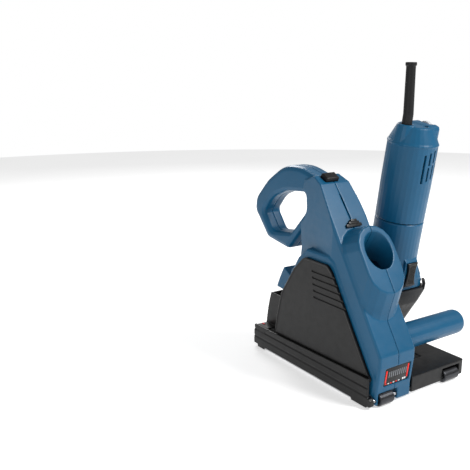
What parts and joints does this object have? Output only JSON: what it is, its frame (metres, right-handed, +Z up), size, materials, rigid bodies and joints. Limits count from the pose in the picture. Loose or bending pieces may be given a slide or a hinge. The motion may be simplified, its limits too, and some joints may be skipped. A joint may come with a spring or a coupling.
{
  "type": "wall chaser",
  "caption": "Hand-held wall chaser: twin diamond discs in a plunging suction hood on a rolling base, driven by an upright bevel-gear motor.",
  "frame": {"origin": "on the work surface, under the middle of the tool's footprint", "axes": "+Z up from the work surface, +X from the disc hood towards the motor and auxiliary handle, +Y from the dust outlet end to the rear handle end"},
  "size_m": [0.217, 0.312, 0.4531],
  "materials": {
    "blue_plastic": "satin",
    "black_plastic": "fine grain",
    "cast_metal": "painted casting",
    "steel": "zinc plated",
    "dark_steel": "turned",
    "sheet_steel": "rolled sheet",
    "rubber": "matt",
    "red_plastic": "satin",
    "grey_plastic": "satin",
    "laminated_iron": "lamination stack",
    "copper": "turned copper",
    "carbon": "pressed carbon",
    "diamond_disc": "ground"
  },
  "bodies": {
    "base": {"base_frame": "black_plastic", "side_cover": "black_plastic", "cover_screw_front": "steel", "cover_screw_rear": "steel", "sole_plate": "sheet_steel", "rear_cut_mark": "red_plastic", "plunge_spring": "steel", "pivot_axle": "steel", "front_right_axle": "steel", "rear_left_axle": "steel", "rear_right_axle": "steel"},
    "hood": {"hood_left_shell": "blue_plastic", "hood_right_shell": "blue_plastic", "hood_screw_1": "steel", "hood_screw_2": "steel", "hood_screw_3": "steel", "hood_screw_4": "steel", "front_sight_plate": "black_plastic", "aux_handle": "blue_plastic", "aux_handle_bolt": "steel", "gear_housing": "cast_metal", "bearing_flange": "cast_metal", "spindle_ball_bearing": "steel", "spindle_needle_bearing": "steel", "pinion_bearing": "steel", "rear_bearing": "steel", "motor_housing": "blue_plastic", "gear_screw_1": "steel", "gear_screw_2": "steel", "gear_screw_3": "steel", "gear_screw_4": "steel", "rear_cover": "blue_plastic", "rear_cover_screw": "steel", "cord_sleeve": "rubber", "stator_core": "laminated_iron", "brush_carrier": "black_plastic", "brush_front": "carbon", "brush_rear": "carbon", "switch_block": "black_plastic"},
    "front_left_wheel": {"front_left_roller": "dark_steel"},
    "front_right_wheel": {"front_right_roller": "dark_steel"},
    "rear_left_wheel": {"rear_left_roller": "dark_steel"},
    "rear_right_wheel": {"rear_right_roller": "dark_steel"},
    "cutting_spindle": {"spindle": "steel", "mounting_flange": "dark_steel", "spacer_ring": "dark_steel", "clamping_nut": "dark_steel", "inner_disc": "diamond_disc", "outer_disc": "diamond_disc", "crown_gear": "dark_steel"},
    "armature": {"armature_shaft": "steel", "armature_core": "laminated_iron", "commutator": "copper", "cooling_fan": "grey_plastic", "drive_pinion": "dark_steel"},
    "switch": {"switch_slider": "black_plastic"},
    "lock": {"spindle_lock_button": "black_plastic"},
    "dial": {"speed_dial": "grey_plastic"},
    "release": {"release_button": "black_plastic"},
    "depth": {"depth_slider": "black_plastic"}
  },
  "joints": [
    {"name": "plunge", "type": "hinge", "parent": "base", "child": "hood", "pos_m": [-0.0625, -0.1465, 0.0095], "axis": [-1, 0, 0], "range_deg": [0, 18.5], "stiffness_Nm_per_rad": 10, "springref_deg": -45.84, "deforming": ["plunge_spring"]},
    {"name": "front_left_roll", "type": "hinge", "parent": "base", "child": "front_left_wheel", "pos_m": [-0.0785, -0.1465, 0.0095], "axis": [1, 0, 0], "continuous": true},
    {"name": "front_right_roll", "type": "hinge", "parent": "base", "child": "front_right_wheel", "pos_m": [0.0535, -0.1465, 0.0095], "axis": [1, 0, 0], "continuous": true},
    {"name": "rear_left_roll", "type": "hinge", "parent": "base", "child": "rear_left_wheel", "pos_m": [-0.0945, 0.1005, 0.0095], "axis": [1, 0, 0], "continuous": true},
    {"name": "rear_right_roll", "type": "hinge", "parent": "base", "child": "rear_right_wheel", "pos_m": [0.0535, 0.1005, 0.0095], "axis": [1, 0, 0], "continuous": true},
    {"name": "spindle_spin", "type": "hinge", "parent": "hood", "child": "cutting_spindle", "pos_m": [-0.0625, -0.0215, 0.085], "axis": [1, 0, 0], "continuous": true},
    {"name": "armature_spin", "type": "hinge", "parent": "hood", "child": "armature", "pos_m": [0.0465, -0.0215, 0.085], "axis": [0, -0.1478, 0.989], "continuous": true},
    {"name": "switch_slide", "type": "slide", "parent": "hood", "child": "switch", "axis": [0, -0.1478, 0.989], "range_m": [0, 0.006]},
    {"name": "lock_press", "type": "slide", "parent": "hood", "child": "lock", "axis": [0, -1, 0], "range_m": [0, 0.003], "stiffness_N_per_m": 400},
    {"name": "dial_turn", "type": "hinge", "parent": "hood", "child": "dial", "pos_m": [0.0678, -0.06244, 0.35896], "axis": [1, 0, 0], "range_deg": [0, 270]},
    {"name": "release_press", "type": "slide", "parent": "hood", "child": "release", "axis": [0, 0.5, -0.866], "range_m": [0, 0.003], "stiffness_N_per_m": 400},
    {"name": "depth_slide", "type": "slide", "parent": "hood", "child": "depth", "axis": [0, 0.5314, 0.8471], "range_m": [0, 0.03]}
  ],
  "couplings": [
    {"joint": "armature_spin", "follows": "spindle_spin", "ratio": 3}
  ]
}
